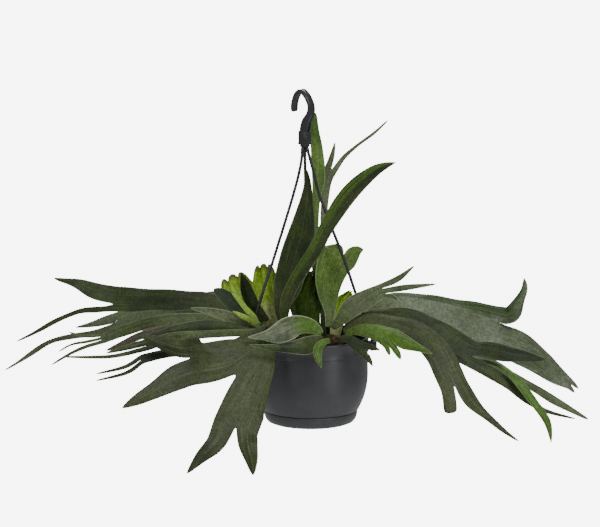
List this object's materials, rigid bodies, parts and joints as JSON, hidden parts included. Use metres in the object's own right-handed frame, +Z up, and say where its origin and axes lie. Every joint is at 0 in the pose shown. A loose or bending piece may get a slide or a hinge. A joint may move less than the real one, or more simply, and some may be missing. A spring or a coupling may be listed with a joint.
{
  "type": "staghorn fern in a hanging pot",
  "caption": "Staghorn fern with forked arching fronds in a round dark plastic hanging pot with a saucer, hung from a hook on thin arms.",
  "frame": {"origin": "the inner seat of the hook, where the whole part hangs", "axes": "+Z up; +X along the widest spread of the fronds, to the viewer's right; -Y towards the viewer"},
  "size_m": [0.7446, 0.3807, 0.4542],
  "materials": {
    "pot_plastic": "satin dark grey moulded plastic",
    "hanger_plastic": "slightly glossy black moulded plastic",
    "bark": "rough chipped potting bark",
    "crown": "dry reddish brown scales",
    "dark_frond": "matt dark green leaf",
    "grey_frond": "felted grey-green leaf",
    "bright_frond": "fresh green leaf with a soft sheen",
    "brown_frond": "purple-brown felted underside",
    "lime_frond": "thin translucent lime leaf"
  },
  "bodies": {
    "root": {"pot": "pot_plastic", "saucer": "pot_plastic", "hanger_hook": "hanger_plastic", "hanger_arm_left": "hanger_plastic", "hanger_arm_right": "hanger_plastic", "hanger_arm_back": "hanger_plastic", "soil": "bark", "crown_left": "crown", "crown_right": "crown", "frond_front_left": "dark_frond", "frond_front_grey": "grey_frond", "frond_front_low": "bright_frond", "frond_front_drop": "bright_frond", "frond_front_right": "dark_frond", "frond_right_toothed": "bright_frond", "frond_right_silver": "grey_frond", "frond_right_lower": "dark_frond", "frond_right_middle": "dark_frond", "frond_right_upper": "grey_frond", "frond_right_outer": "bright_frond", "frond_left_upper": "dark_frond", "frond_left_middle": "grey_frond", "frond_left_green": "bright_frond", "frond_left_pale": "brown_frond", "frond_left_dark": "dark_frond", "frond_left_low": "bright_frond", "frond_left_lowest": "dark_frond", "leaf_left_long": "grey_frond", "leaf_left_broad": "dark_frond", "leaf_left_upright": "dark_frond", "leaf_left_young": "lime_frond", "frond_centre_tall": "dark_frond", "frond_centre_strap": "dark_frond", "frond_centre_light": "grey_frond", "frond_back_tall": "bright_frond", "frond_back_forked": "grey_frond", "frond_back_left": "dark_frond", "frond_back_right": "dark_frond", "shield_left_outer": "lime_frond", "shield_left_inner": "lime_frond", "shield_middle": "bright_frond", "shield_right": "lime_frond"}
  },
  "joints": []
}
